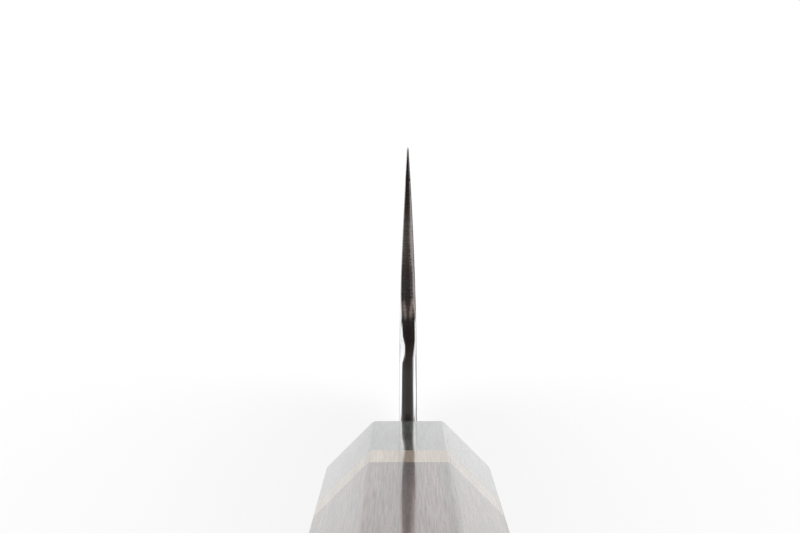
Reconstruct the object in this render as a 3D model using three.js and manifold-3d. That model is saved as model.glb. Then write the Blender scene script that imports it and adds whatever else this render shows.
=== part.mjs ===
// A santoku kitchen knife with an octagonal handle, standing on the back of the handle with its cutting edge up.
// The blade is three layers of steel: a hard core between two softer claddings. Its tang runs back into a handle
// that is built from a ferrule, a spacer ring and a wooden body, threaded on one slotted dowel and glued.
//
// Units are millimetres. +X is the right-hand side seen from the butt, +Y runs from butt to tip, and +Z from the
// spine to the cutting edge. While the pieces are made, Y is 0 at the front face of the ferrule and Z is 0 on the
// back facet of the handle. The finished knife is then centred along Y.
import * as THREE from "three";
import { mergeVertices } from "three/addons/utils/BufferGeometryUtils.js";
import Module from "manifold-3d";

const wasm = await Module();
wasm.setup();

// Blade outline, seen from the side
const BLADE_LENGTH = 175; // heel to tip
const BLADE_HEIGHT = 50; // spine to edge at the heel
const EDGE_FLAT_REACH = 80; // how far the nearly flat edge holds forward from the heel
const BELLY_REACH = 35; // how far back from the tip the belly starts to sweep
const BELLY_LIFT = 1.5; // how far the edge has swept up where the belly starts
const TIP_LIFT = 12; // the tip above the line of the heel
const NOSE_LENGTH = 60; // the stretch of spine that curves down to the tip
const SPINE_DROP = 2; // fall of the spine from the neck to the start of that curve
const NOSE_SHOULDER = 34; // how far the spine carries on before it turns down
const NOSE_RUN = 13; // how far back from the tip the curve aims
const NOSE_FALL = 14; // how far above the tip the curve aims
const NECK_LENGTH = 18; // ferrule to heel
const NECK_HEIGHT = 15;
const CHOIL_RADIUS = 14; // sweep from the neck into the heel
const ARRIS_EASE = 0.4; // rounding of the neck, the spine and the choil

// Blade section
const STOCK_THICKNESS = 2.2; // neck and tang
const HEEL_THICKNESS = 2.15; // spine above the heel
const TIP_THICKNESS = 1.1;
const GRIND_HEIGHT = 25; // convex grind, from the edge up
const GRIND_CURVE = 1.6; // 1 is a flat grind
const EDGE_SHOULDER = 0.1; // thickness behind the cutting bevel
const BEVEL_ANGLE = 12; // degrees a side
const CORE_THICKNESS = 0.6;
const WELD_GAP = 0.02; // seam between the core and a cladding
const FORGE_WAVE = 0.025; // how far the hammered seam wanders
const FORGE_WAVE_LENGTH = 41; // of the slower of two waves
const FORGE_WAVE_RATIO = 2.3; // the quicker wave against the slower

// Tang
const TANG_LENGTH = 78;
const TANG_ROOT_HEIGHT = 9.6;
const TANG_END_HEIGHT = 6;
const TANG_END_RADIUS = 1.5;

// Handle
const HANDLE_LENGTH = 136;
const FRONT_WIDTH = 19;
const FRONT_HEIGHT = 22;
const BUTT_WIDTH = 20.4;
const BUTT_HEIGHT = 24;
const FRONT_FACET = 5.5; // legs of the corner facets
const BUTT_FACET = 6;
const FACET_EASE = 0.7; // rounding between the facets
const FRONT_EASE = 0.6; // rounding of the ferrule's front edge
const BUTT_EASE = 1.6; // rounding of the butt
const FERRULE_LENGTH = 20.5;
const SPACER_LENGTH = 7;
const FERRULE_WALL = 7; // front wall of the ferrule, with the mortise for the tang

// Inside the handle
const BOND_GAP = 0.1; // glue line between pieces
const DOWEL_DIAMETER = 11.2;
const DOWEL_END_GRIP = 9; // solid dowel beyond the end of the tang
const BEDDING_THICKNESS = 0.25; // epoxy on each side of the tang
const SEAL_LAP = 0.2; // how far the bead round the neck laps over the rim of the mortise
const SEAL_LENGTH = 0.5;

// Fineness of the facets
const STATIONS = 36; // along the blade
const GRIND_STEPS = 9; // up the grind
const CURVE_STEPS = 18;
const ARC_STEPS = 3;
const BORE_STEPS = 40;
const WAVE_STEP = 3;

const HEEL_Y = NECK_LENGTH;
const TIP_Y = HEEL_Y + BLADE_LENGTH;
const BUTT_Y = -HANDLE_LENGTH;
const SPACER_Y = -FERRULE_LENGTH;
const BODY_Y = SPACER_Y - SPACER_LENGTH;
const AXIS_Z = FRONT_HEIGHT / 2; // the tang, the dowel and the bores share this line
const SPINE_Z = AXIS_Z - NECK_HEIGHT / 2;
const EDGE_Z = SPINE_Z + BLADE_HEIGHT;
const MORTISE_GAP = BOND_GAP + BEDDING_THICKNESS + BOND_GAP; // room round the tang for the epoxy
const BORE_RADIUS = DOWEL_DIAMETER / 2 + BOND_GAP;
const DOWEL_FRONT_Y = -FERRULE_WALL - BOND_GAP;
const SLOT_END_Y = -TANG_LENGTH - MORTISE_GAP;
const DOWEL_END_Y = -TANG_LENGTH - DOWEL_END_GRIP;
const BORE_END_Y = DOWEL_END_Y - BOND_GAP;
const CUT_MARGIN = 2; // how far a cutting tool runs past what it cuts

const lerp = THREE.MathUtils.lerp;

// Solids and geometry

function toSolid(geometry) {
  const bare = geometry.clone();
  bare.deleteAttribute("normal");
  bare.deleteAttribute("uv");
  const merged = mergeVertices(bare);
  return new wasm.Manifold(
    new wasm.Mesh({
      numProp: 3,
      vertProperties: merged.attributes.position.array,
      triVerts: new Uint32Array(merged.index.array),
    }),
  );
}

function toGeometry(solid) {
  const mesh = solid.getMesh();
  const geometry = new THREE.BufferGeometry();
  geometry.setAttribute("position", new THREE.BufferAttribute(mesh.vertProperties, mesh.numProp));
  geometry.setIndex(new THREE.BufferAttribute(mesh.triVerts, 1));
  geometry.computeVertexNormals();
  return geometry;
}

// A closed skin over sections that run towards +Y. Each section is a loop of points, anticlockwise seen from the butt.
function loft(sections) {
  const count = sections[0].length;
  const points = sections.flat();
  const faces = [];
  for (let s = 0; s < sections.length - 1; s++) {
    for (let i = 0; i < count; i++) {
      const next = (i + 1) % count;
      const [a, b] = [s * count + i, s * count + next];
      faces.push(a, a + count, b, b, a + count, b + count);
    }
  }
  const last = (sections.length - 1) * count;
  const outline = sections[0].map((p) => new THREE.Vector2(p.x, p.z));
  const endOutline = sections.at(-1).map((p) => new THREE.Vector2(p.x, p.z));
  for (const [a, b, c] of THREE.ShapeUtils.triangulateShape(outline, [])) faces.push(a, b, c);
  for (const [a, b, c] of THREE.ShapeUtils.triangulateShape(endOutline, [])) faces.push(last + a, last + c, last + b);
  return new THREE.BufferGeometry().setFromPoints(points).setIndex(faces);
}

// A box between two corners.
function block(low, high) {
  const size = high.clone().sub(low);
  const centre = low.clone().add(high).multiplyScalar(0.5);
  return new THREE.BoxGeometry(size.x, size.y, size.z).translate(centre.x, centre.y, centre.z);
}

// A round bar along the handle's axis.
function bar(radius, startY, endY) {
  const length = endY - startY;
  const round = new THREE.CylinderGeometry(radius, radius, length, BORE_STEPS);
  return round.translate(0, (startY + endY) / 2, AXIS_Z);
}

// Turns an extrusion of a (y, z) outline so that its thickness lies along X, centred on the blade.
function sideways(geometry, thickness) {
  const turned = new THREE.Matrix4().makeBasis(
    new THREE.Vector3(0, 1, 0),
    new THREE.Vector3(0, 0, 1),
    new THREE.Vector3(1, 0, 0),
  );
  return geometry.translate(0, 0, -thickness / 2).applyMatrix4(turned);
}

// Blade

function edgeCurve() {
  return new THREE.CubicBezierCurve(
    new THREE.Vector2(HEEL_Y, EDGE_Z),
    new THREE.Vector2(HEEL_Y + EDGE_FLAT_REACH, EDGE_Z),
    new THREE.Vector2(TIP_Y - BELLY_REACH, EDGE_Z - BELLY_LIFT),
    new THREE.Vector2(TIP_Y, EDGE_Z - TIP_LIFT),
  );
}

// The side of the forged blank: neck, tang and spine are final, and the edge is left proud for the grind to cut.
function blankOutline() {
  const tip = new THREE.Vector2(TIP_Y, EDGE_Z - TIP_LIFT);
  const noseAim = new THREE.Vector2(TIP_Y - NOSE_RUN, tip.y - NOSE_FALL);
  const pastTip = tip.clone().sub(noseAim).setLength(CUT_MARGIN).add(tip);
  const noseY = TIP_Y - NOSE_LENGTH;
  const neckTop = SPINE_Z + NECK_HEIGHT;
  const choil = Math.min(CHOIL_RADIUS, NECK_LENGTH - ARRIS_EASE);
  const rootHalf = TANG_ROOT_HEIGHT / 2;
  const endHalf = TANG_END_HEIGHT / 2;
  const outline = new THREE.Shape();
  outline.moveTo(0, SPINE_Z);
  outline.lineTo(noseY, SPINE_Z + SPINE_DROP);
  outline.bezierCurveTo(
    noseY + NOSE_SHOULDER,
    SPINE_Z + SPINE_DROP * (1 + NOSE_SHOULDER / noseY),
    noseAim.x,
    noseAim.y,
    tip.x,
    tip.y,
  );
  outline.lineTo(pastTip.x, pastTip.y);
  outline.lineTo(pastTip.x, EDGE_Z + CUT_MARGIN);
  outline.lineTo(HEEL_Y, EDGE_Z + CUT_MARGIN);
  outline.lineTo(HEEL_Y, neckTop + choil);
  outline.absarc(HEEL_Y - choil, neckTop + choil, choil, 0, -Math.PI / 2, true);
  outline.lineTo(0, neckTop);
  outline.lineTo(0, AXIS_Z + rootHalf);
  outline.lineTo(TANG_END_RADIUS - TANG_LENGTH, AXIS_Z + endHalf);
  outline.quadraticCurveTo(-TANG_LENGTH, AXIS_Z + endHalf, -TANG_LENGTH, AXIS_Z + endHalf - TANG_END_RADIUS);
  outline.lineTo(-TANG_LENGTH, AXIS_Z - endHalf + TANG_END_RADIUS);
  outline.quadraticCurveTo(-TANG_LENGTH, AXIS_Z - endHalf, TANG_END_RADIUS - TANG_LENGTH, AXIS_Z - endHalf);
  outline.lineTo(0, AXIS_Z - rootHalf);
  return outline;
}

function forgedBlank() {
  const shape = new THREE.ExtrudeGeometry(blankOutline(), {
    depth: STOCK_THICKNESS - 2 * ARRIS_EASE,
    bevelThickness: ARRIS_EASE,
    bevelSize: ARRIS_EASE,
    bevelOffset: -ARRIS_EASE,
    bevelSegments: ARC_STEPS,
    curveSegments: CURVE_STEPS,
  });
  return sideways(shape, STOCK_THICKNESS - 2 * ARRIS_EASE);
}

// Half the ground thickness at a depth below the edge: a small flat bevel, then a convex grind up to a flat.
function halfThickness(depth, y) {
  const spine = lerp(HEEL_THICKNESS, TIP_THICKNESS, (y - HEEL_Y) / BLADE_LENGTH);
  const ground = 1 - (1 - Math.min(depth / GRIND_HEIGHT, 1)) ** GRIND_CURVE;
  const convex = lerp(EDGE_SHOULDER, spine, ground) / 2;
  return Math.min(convex, depth * Math.tan(THREE.MathUtils.degToRad(BEVEL_ANGLE)));
}

// Everything that the grinding leaves, with a true cutting edge that follows the edge curve.
function grindEnvelope() {
  const edge = edgeCurve();
  const stations = edge.getSpacedPoints(STATIONS);
  const back = new THREE.Vector2(-TANG_LENGTH - CUT_MARGIN, EDGE_Z);
  const front = edge.getTangent(1).setLength(2 * CUT_MARGIN).add(edge.getPoint(1));
  const bevelDepth = EDGE_SHOULDER / 2 / Math.tan(THREE.MathUtils.degToRad(BEVEL_ANGLE));
  const depths = [bevelDepth];
  for (let i = 1; i <= GRIND_STEPS; i++) depths.push(lerp(bevelDepth, GRIND_HEIGHT, i / GRIND_STEPS));
  const below = SPINE_Z - CUT_MARGIN;
  const sections = [back, ...stations, front].map(({ x: y, y: z }) => {
    const flank = depths.map((d) => new THREE.Vector3(halfThickness(d, y), y, z - d));
    const foot = new THREE.Vector3(flank.at(-1).x, y, below);
    const right = [...flank, foot];
    const left = right.map((p) => new THREE.Vector3(-p.x, p.y, p.z));
    return [new THREE.Vector3(0, y, z), ...left, ...right.reverse()];
  });
  return loft(sections);
}

// The core's sheet of hard steel, grown by a gap on each face. Its faces wander a little, as forge welding leaves them.
function coreSheet(gap) {
  const low = SPINE_Z - CUT_MARGIN;
  const high = EDGE_Z + CUT_MARGIN;
  const start = -TANG_LENGTH - CUT_MARGIN;
  const end = TIP_Y + CUT_MARGIN;
  const steps = Math.ceil((end - start) / WAVE_STEP);
  const turn = (2 * Math.PI) / FORGE_WAVE_LENGTH;
  const sections = [];
  for (let i = 0; i <= steps; i++) {
    const y = lerp(start, end, i / steps);
    const wave = (FORGE_WAVE / 2) * (Math.sin(turn * y) + Math.sin(turn * FORGE_WAVE_RATIO * y));
    const half = CORE_THICKNESS / 2 + wave + gap;
    sections.push([
      new THREE.Vector3(-half, y, high),
      new THREE.Vector3(-half, y, low),
      new THREE.Vector3(half, y, low),
      new THREE.Vector3(half, y, high),
    ]);
  }
  return loft(sections);
}

const billet = toSolid(forgedBlank()).intersect(toSolid(grindEnvelope()));

function bladeCore() {
  return toGeometry(billet.intersect(toSolid(coreSheet(0))));
}

// One of the two claddings: side is 1 for the right and -1 for the left.
function cladding(side) {
  const reach = side * STOCK_THICKNESS;
  const low = new THREE.Vector3(Math.min(0, reach), -TANG_LENGTH - CUT_MARGIN, SPINE_Z - CUT_MARGIN);
  const high = new THREE.Vector3(Math.max(0, reach), TIP_Y + CUT_MARGIN, EDGE_Z + CUT_MARGIN);
  return toGeometry(billet.subtract(toSolid(coreSheet(WELD_GAP))).intersect(toSolid(block(low, high))));
}

// Handle

// The handle's octagon at a place along its length, moved in by an inset, with each corner rounded.
function handleSection(y, inset) {
  const share = -y / HANDLE_LENGTH;
  const height = lerp(FRONT_HEIGHT, BUTT_HEIGHT, share);
  const shrink = inset + FACET_EASE;
  const a = lerp(FRONT_WIDTH, BUTT_WIDTH, share) / 2 - shrink;
  const b = height / 2 - shrink;
  const c = lerp(FRONT_FACET, BUTT_FACET, share) - (2 - Math.SQRT2) * shrink;
  const corners = [
    [a, b - c],
    [a - c, b],
    [c - a, b],
    [-a, b - c],
    [-a, c - b],
    [c - a, -b],
    [a - c, -b],
    [a, c - b],
  ];
  return corners.flatMap(([x, z], k) => {
    const arc = [];
    for (let i = 0; i <= ARC_STEPS; i++) {
      const angle = (k + i / ARC_STEPS) * (Math.PI / 4);
      arc.push(new THREE.Vector3(x + FACET_EASE * Math.cos(angle), y, height / 2 + z + FACET_EASE * Math.sin(angle)));
    }
    return arc;
  });
}

// Sections that round an end of the handle. towards is 1 for the front and -1 for the butt.
function roundedEnd(endY, ease, towards) {
  const sections = [];
  for (let i = 0; i <= ARC_STEPS; i++) {
    const angle = (i / ARC_STEPS) * (Math.PI / 2);
    sections.push(handleSection(endY - towards * ease * (1 - Math.sin(angle)), ease * (1 - Math.cos(angle))));
  }
  return towards > 0 ? sections : sections.reverse();
}

// The room for the tang and its epoxy through the ferrule's front wall.
function mortise(gap) {
  const halfWidth = STOCK_THICKNESS / 2 + gap;
  const halfHeight = TANG_ROOT_HEIGHT / 2 + gap;
  return block(
    new THREE.Vector3(-halfWidth, -FERRULE_WALL - CUT_MARGIN, AXIS_Z - halfHeight),
    new THREE.Vector3(halfWidth, CUT_MARGIN, AXIS_Z + halfHeight),
  );
}

function ferrule() {
  const outside = loft([handleSection(SPACER_Y, 0), ...roundedEnd(0, FRONT_EASE, 1)]);
  const bore = bar(BORE_RADIUS, SPACER_Y - CUT_MARGIN, -FERRULE_WALL);
  return toGeometry(toSolid(outside).subtract(toSolid(bore)).subtract(toSolid(mortise(MORTISE_GAP))));
}

function spacer() {
  const outside = loft([handleSection(BODY_Y, 0), handleSection(SPACER_Y, 0)]);
  const bore = bar(BORE_RADIUS, BODY_Y - CUT_MARGIN, SPACER_Y + CUT_MARGIN);
  return toGeometry(toSolid(outside).subtract(toSolid(bore)));
}

function handleBody() {
  const outside = loft([...roundedEnd(BUTT_Y, BUTT_EASE, -1), handleSection(BODY_Y, 0)]);
  const bore = bar(BORE_RADIUS, BORE_END_Y, BODY_Y + CUT_MARGIN);
  return toGeometry(toSolid(outside).subtract(toSolid(bore)));
}

// Inside the handle

// The slot that the tang and its epoxy take up in the dowel.
function tangSlot(gap, frontY, endY) {
  const halfWidth = STOCK_THICKNESS / 2 + gap;
  return block(
    new THREE.Vector3(-halfWidth, endY, AXIS_Z - DOWEL_DIAMETER),
    new THREE.Vector3(halfWidth, frontY, AXIS_Z + DOWEL_DIAMETER),
  );
}

function dowel() {
  const round = toSolid(bar(DOWEL_DIAMETER / 2, DOWEL_END_Y, DOWEL_FRONT_Y));
  return toGeometry(round.subtract(toSolid(tangSlot(MORTISE_GAP, CUT_MARGIN, SLOT_END_Y))));
}

// The tang with a gap all round, for what is moulded on it.
function grownTang(gap) {
  const outline = new THREE.Shape();
  outline.moveTo(CUT_MARGIN, AXIS_Z - TANG_ROOT_HEIGHT / 2 - gap);
  outline.lineTo(CUT_MARGIN, AXIS_Z + TANG_ROOT_HEIGHT / 2 + gap);
  outline.lineTo(0, AXIS_Z + TANG_ROOT_HEIGHT / 2 + gap);
  outline.lineTo(-TANG_LENGTH - gap, AXIS_Z + TANG_END_HEIGHT / 2 + gap);
  outline.lineTo(-TANG_LENGTH - gap, AXIS_Z - TANG_END_HEIGHT / 2 - gap);
  outline.lineTo(0, AXIS_Z - TANG_ROOT_HEIGHT / 2 - gap);
  const depth = STOCK_THICKNESS + 2 * gap;
  return sideways(new THREE.ExtrudeGeometry(outline, { depth, bevelEnabled: false }), depth);
}

// The epoxy that fills the mortise and the dowel's slot and holds the tang.
function tangBedding() {
  const fill = MORTISE_GAP - BOND_GAP;
  const inBore = toSolid(bar(BORE_RADIUS - BOND_GAP, SLOT_END_Y + BOND_GAP, -FERRULE_WALL));
  const inSlot = inBore.intersect(toSolid(tangSlot(fill, CUT_MARGIN, SLOT_END_Y + BOND_GAP)));
  const wallHalf = TANG_ROOT_HEIGHT / 2 + fill;
  const inMortise = block(
    new THREE.Vector3(-STOCK_THICKNESS / 2 - fill, -FERRULE_WALL - CUT_MARGIN, AXIS_Z - wallHalf),
    new THREE.Vector3(STOCK_THICKNESS / 2 + fill, -BOND_GAP, AXIS_Z + wallHalf),
  );
  return toGeometry(inSlot.add(toSolid(inMortise)).subtract(toSolid(grownTang(BOND_GAP))));
}

// The bead that seals the neck against the front of the ferrule.
function mouthSeal() {
  const inner = { x: STOCK_THICKNESS / 2 + BOND_GAP, z: NECK_HEIGHT / 2 + BOND_GAP };
  const frame = (reach, y) =>
    [
      [1, 1],
      [-1, 1],
      [-1, -1],
      [1, -1],
    ].map(([sx, sz]) => new THREE.Vector3(sx * (inner.x + reach), y, AXIS_Z + sz * (inner.z + reach)));
  const bead = loft([frame(MORTISE_GAP - BOND_GAP + SEAL_LAP, 0), frame(SEAL_LAP, SEAL_LENGTH)]);
  const hole = block(
    new THREE.Vector3(-inner.x, -CUT_MARGIN, AXIS_Z - inner.z),
    new THREE.Vector3(inner.x, CUT_MARGIN, AXIS_Z + inner.z),
  );
  return toGeometry(toSolid(bead).subtract(toSolid(hole)));
}

// Materials

function material(color, roughness, metalness) {
  return new THREE.MeshStandardMaterial({ color, roughness, metalness });
}

const coreSteel = material("#6f7072", 0.22, 1);
const claddingSteel = material("#a4a5a8", 0.38, 1);
const horn = material("#5a625e", 0.2, 0);
const paleWood = material("#d3bfa5", 0.35, 0);
const darkWood = material("#4c4443", 0.3, 0);
const dowelWood = material("#c9a877", 0.7, 0);
const epoxy = material("#2b2622", 0.35, 0);

// Assembly

const knife = new THREE.Group();

function place(name, geometry, finish) {
  const mesh = new THREE.Mesh(geometry, finish);
  mesh.name = name;
  knife.add(mesh);
}

place("blade_core", bladeCore(), coreSteel);
place("left_cladding", cladding(-1), claddingSteel);
place("right_cladding", cladding(1), claddingSteel);
place("ferrule", ferrule(), horn);
place("spacer", spacer(), paleWood);
place("handle_body", handleBody(), darkWood);
place("core_dowel", dowel(), dowelWood);
place("tang_bedding", tangBedding(), epoxy);
place("mouth_seal", mouthSeal(), epoxy);

knife.position.y = -(TIP_Y + BUTT_Y) / 2;

export default knife;
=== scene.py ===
"""A santoku knife in a white studio, edge up, seen from behind the handle.

The handle's solids stay as they are and get horn, wood, lacquer and epoxy. The three steel layers of the
blade are made again as fine sheets, with arrises rounded by hand and a wandering seam between the core and
its claddings. The frame is in metres: +X to the right seen from the butt, +Y from butt to tip, +Z from
spine to cutting edge.
"""
import math
from collections import namedtuple

import bpy
import numpy as np
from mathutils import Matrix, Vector, kdtree
from mathutils.geometry import delaunay_2d_cdt


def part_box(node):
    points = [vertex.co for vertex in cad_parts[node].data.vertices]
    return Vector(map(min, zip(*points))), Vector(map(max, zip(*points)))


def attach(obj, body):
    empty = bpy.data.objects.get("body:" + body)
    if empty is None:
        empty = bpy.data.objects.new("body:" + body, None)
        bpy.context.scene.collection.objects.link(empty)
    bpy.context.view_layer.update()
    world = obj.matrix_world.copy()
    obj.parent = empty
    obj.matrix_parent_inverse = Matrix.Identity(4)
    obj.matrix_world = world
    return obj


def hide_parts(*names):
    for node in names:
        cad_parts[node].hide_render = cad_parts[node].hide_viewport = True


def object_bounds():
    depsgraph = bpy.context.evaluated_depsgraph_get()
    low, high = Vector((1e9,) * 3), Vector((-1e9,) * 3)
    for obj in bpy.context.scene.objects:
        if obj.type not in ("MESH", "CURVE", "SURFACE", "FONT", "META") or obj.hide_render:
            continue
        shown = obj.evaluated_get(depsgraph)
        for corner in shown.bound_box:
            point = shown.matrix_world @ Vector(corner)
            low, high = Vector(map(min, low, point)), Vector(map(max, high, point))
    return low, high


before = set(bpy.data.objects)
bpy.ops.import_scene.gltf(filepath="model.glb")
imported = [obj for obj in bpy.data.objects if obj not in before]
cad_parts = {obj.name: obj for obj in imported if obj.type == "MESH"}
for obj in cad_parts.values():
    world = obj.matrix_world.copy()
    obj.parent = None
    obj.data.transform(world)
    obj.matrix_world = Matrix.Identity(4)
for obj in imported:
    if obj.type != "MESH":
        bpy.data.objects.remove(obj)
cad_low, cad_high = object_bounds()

MM = 0.001

Rounding = namedtuple("Rounding", "heel heel_share choil_top choil choil_turn neck neck_turn glint")
Pattern = namedtuple("Pattern", "per_mm detail warp", defaults=[0.0])
Tint = namedtuple("Tint", "colour span share")
Wood = namedtuple("Wood", "dark light pore pore_share ring_width")
Softbox = namedtuple("Softbox", "place power")


def rgb(red, green, blue):
    return (red, green, blue, 1)


def grey(level):
    return rgb(level, level, level)


# Blade outline, seen from the side
BLADE_LENGTH = 175 * MM
BLADE_HEIGHT = 50 * MM
EDGE_FLAT_REACH = 80 * MM
BELLY_REACH = 35 * MM
BELLY_LIFT = 1.5 * MM
TIP_LIFT = 12 * MM
NOSE_LENGTH = 60 * MM
SPINE_DROP = 2 * MM
NOSE_SHOULDER = 34 * MM
NOSE_RUN = 13 * MM
NOSE_FALL = 14 * MM
NECK_LENGTH = 18 * MM
NECK_HEIGHT = 15 * MM
CHOIL_RADIUS = 14 * MM
TANG_ROOT_HEIGHT = 9.6 * MM
TANG_END_HEIGHT = 6 * MM

# Blade section
STOCK_THICKNESS = 2.2 * MM
HEEL_THICKNESS = 2.15 * MM
TIP_THICKNESS = 1.1 * MM
GRIND_HEIGHT = 25 * MM
GRIND_CURVE = 1.6
EDGE_SHOULDER = 0.1 * MM
BEVEL_SLOPE = math.tan(math.radians(12))
CORE_THICKNESS = 0.6 * MM
FORGE_WAVE = 0.025 * MM  # slow wander of the core's faces
FORGE_WAVE_LENGTH = 41 * MM
FORGE_WAVE_RATIO = 2.3  # a second wave runs this much quicker
FORGE_RIPPLE = 0.006 * MM  # finer wander of the seam
FORGE_RIPPLE_LENGTH = 5.3 * MM
FORGE_BEAT = 0.37  # it swells and fades at this share of its own pace
FORGE_BEAT_START = 1.0
FORGE_QUIVER = 2.7  # and a smaller one over it runs this much quicker
FORGE_QUIVER_SHARE = 0.5

# Rounding of the arrises, which is done by hand and differs between the sides. The heel's radius is at
# most a share of the half thickness. The choil's and the neck's are reached at turns of the sweep, in
# degrees. The glint is more rounding at one spot.
LEFT_ROUNDING = Rounding(
    heel=0.15 * MM,
    heel_share=0.25,
    choil_top=0.28 * MM,
    choil=0.58 * MM,
    choil_turn=11,
    neck=0.47 * MM,
    neck_turn=37,
    glint=0.45 * MM,
)
RIGHT_ROUNDING = Rounding(
    heel=0.68 * MM,
    heel_share=0.95,
    choil_top=0.28 * MM,
    choil=0.28 * MM,
    choil_turn=13.5,
    neck=0.62 * MM,
    neck_turn=23,
    glint=0.0,
)
EASE_SPINE = 0.4 * MM
EASE_FADE = 4 * MM  # it runs out towards the end of a layer on the nose
EASE_LIMIT = 0.95  # of the thickness on one side
EASE_LEAST = 0.02 * MM  # anything less is left sharp
HEEL_FADE = (0.0 * MM, 1.8 * MM)  # so far above the choil its rounding passes into the heel's
GLINT_TURN = 18.6  # the glint's place, as a turn of the sweep in degrees
GLINT_SPREAD = 5.0
GLINT_POWER = 4  # how squarely it starts and ends

# Fineness of the sheets
OUTLINE_STEP = 0.8 * MM
SEAM_STEP = 0.35 * MM
CHOIL_POINTS = 40
NOSE_POINTS = 90
LOOKUP_POINTS = 2000
SEAM_END_HALVINGS = 50
EASE_STEPS = 6
BEVEL_CLEAR = 0.15 * MM  # the bevel's line starts this far from the heel
BEVEL_END = 2  # and ends this many corners short of the tip
BEVEL_GUARD = 0.06 * MM  # a second row of corners this far behind the bevel keeps its line crisp
GRID_STEP = 2.2 * MM
GRID_CLEAR = 0.9 * MM  # the grid keeps this far from outline and creases
SHUT = 0.0001 * MM  # a layer that is thinner has run out
SAME_PLACE = 1e-9
TRIANGLES_INSIDE = 1  # the triangulation keeps what lies inside the outline
LAYER_CORNER = math.radians(40)  # edges that turn more stay sharp

# Smooth shading of the handle's solids
HANDLE_CORNER = math.radians(30)  # edges that turn more stay sharp
WELD_DISTANCE = 0.001 * MM

# Zones of the steel, by how far the normal points sideways
STEEL_SHADER = {"Metallic": 1.0}
ARRIS_FROM = (0.08, 0.25)  # narrow faces pass into arrises
FLANK_FROM = (0.9, 0.97)  # and these into flanks

# Narrow faces of the steel, ground across and polished unevenly
NOISE_SPAN = (0.3, 0.7)  # noise lies mostly between these
CROSS_GRIND = Pattern((0.5, 6, 6), 3)
BROWN_BLOOM = Pattern((0.2, 0.3, 0.3), 3)
CLADDING_GROUND = rgb(0.30, 0.273, 0.26)
CLADDING_BLOOM = Tint(rgb(0.27, 0.22, 0.2), (0.4, 0.65), 1.0)
CORE_GROUND = rgb(0.24, 0.22, 0.21)
CORE_BLOOM = Tint(rgb(0.21, 0.165, 0.15), (0.4, 0.65), 1.0)
GROUND_ROUGHNESS = (0.1, 0.18)
HEEL_HAZE = 42.2 * MM  # the heel is least polished about this height
HEEL_HAZE_REACH = 5.5 * MM
HEEL_HAZE_ROUGHNESS = (0.13, 0.25)  # added there
RUB_HIGHLIGHT_TOP = (33.0 * MM, 34.8 * MM)  # a band of rubbing at the start of the choil, with a painted highlight, ends upwards between these
RUB_HIGHLIGHT_FOOT = (30.9 * MM, 33.2 * MM)  # and fades downwards between these
RUB_HIGHLIGHT_SIDE = (0.27 * MM, 0.5 * MM)  # it is strongest this far left and right, at its foot and its top
RUB_HIGHLIGHT_WIDTH = 0.3 * MM
RUB_HIGHLIGHT_LEAST = 0.16  # its share in the middle
RUB_HIGHLIGHT_SHARE = (0.6, 1.15)
# painted highlight: a lighter colour where the band of rubbing is, standing for light caught there
RUB_HIGHLIGHT_COLOUR = rgb(0.6, 0.46, 0.41)
RUB_ROUGHNESS = 0.5

# Arrises of the claddings
LEFT_POLISH = (33.8 * MM, 38 * MM)  # the left one is polished below these heights and as ground above
RIGHT_POLISH = (31.0 * MM, 32.8 * MM)  # and the right one below these
ARRIS_POLISHED = grey(0.9)
ARRIS_ROUGHNESS = 0.1
ARRIS_GROUND = rgb(0.5, 0.46, 0.45)
ARRIS_GROUND_SHARE = 0.35
ARRIS_HEIGHT = 0.5  # its relief is flat

# Flanks of the claddings
SATIN_CLOUD = Pattern((0.05, 0.03, 0.07), 4)
SATIN_HAIR = Pattern((2, 0.05, 7), 4)
SATIN_STREAK = Pattern((0.5, 0.008, 0.8), 4)
SATIN_DARK = rgb(0.46, 0.465, 0.48)
SATIN_LIGHT = rgb(0.62, 0.625, 0.635)
SATIN_STREAK_TINT = Tint(rgb(0.36, 0.365, 0.38), (0.42, 0.62), 0.45)
SATIN_HAIR_TINT = Tint(grey(0.74), (0.45, 0.7), 0.5)
SATIN_ROUGHNESS = (0.24, 0.38)
SATIN_RELIEF = 0.004 * MM
SEAM_HAZE_REACH = 5.0  # millimetres from the seam
SEAM_HAZE_STREAKS = (0.5, 1.0)
SEAM_HAZE_COLOUR = grey(0.7)
SEAM_HAZE_SHARE = 0.6
SEAM_HAZE_ROUGHNESS = 0.14

# Flanks of the core
POLISH_CLOUD = Pattern((0.08, 0.06, 0.15), 4)
POLISH_HAIR = Pattern((2, 0.06, 9), 4)
POLISH_DARK = rgb(0.46, 0.465, 0.48)
POLISH_LIGHT = rgb(0.56, 0.565, 0.58)
POLISH_ROUGHNESS = (0.12, 0.24)
POLISH_RELIEF = 0.002 * MM
SEAM_LINE_TINT = Tint(rgb(0.3, 0.3, 0.31), (-0.7, 0.0), 0.6)  # its span is in millimetres

# Horn
HORN_SHADER = {"IOR": 1.45, "Coat Weight": 1.0, "Coat Roughness": 0.06, "Coat IOR": 1.45}
HORN_MARBLE = Pattern((0.22, 0.07, 0.22), 5, 1.2)
HORN_STREAK = Pattern((0.9, 0.05, 0.9), 4, 0.6)
HORN_FIBRE = Pattern((7, 0.3, 7), 2)
HORN_DARK = rgb(0.035, 0.044, 0.04)
HORN_LIGHT = rgb(0.10, 0.125, 0.115)
HORN_STREAK_TINT = Tint(rgb(0.22, 0.24, 0.21), (0.58, 0.72), 0.5)
HORN_FIBRE_TINT = Tint(rgb(0.05, 0.055, 0.05), (0.5, 0.8), 0.4)
HORN_ROUGHNESS = (0.14, 0.24)
HORN_RELIEF = 0.002 * MM

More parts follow.
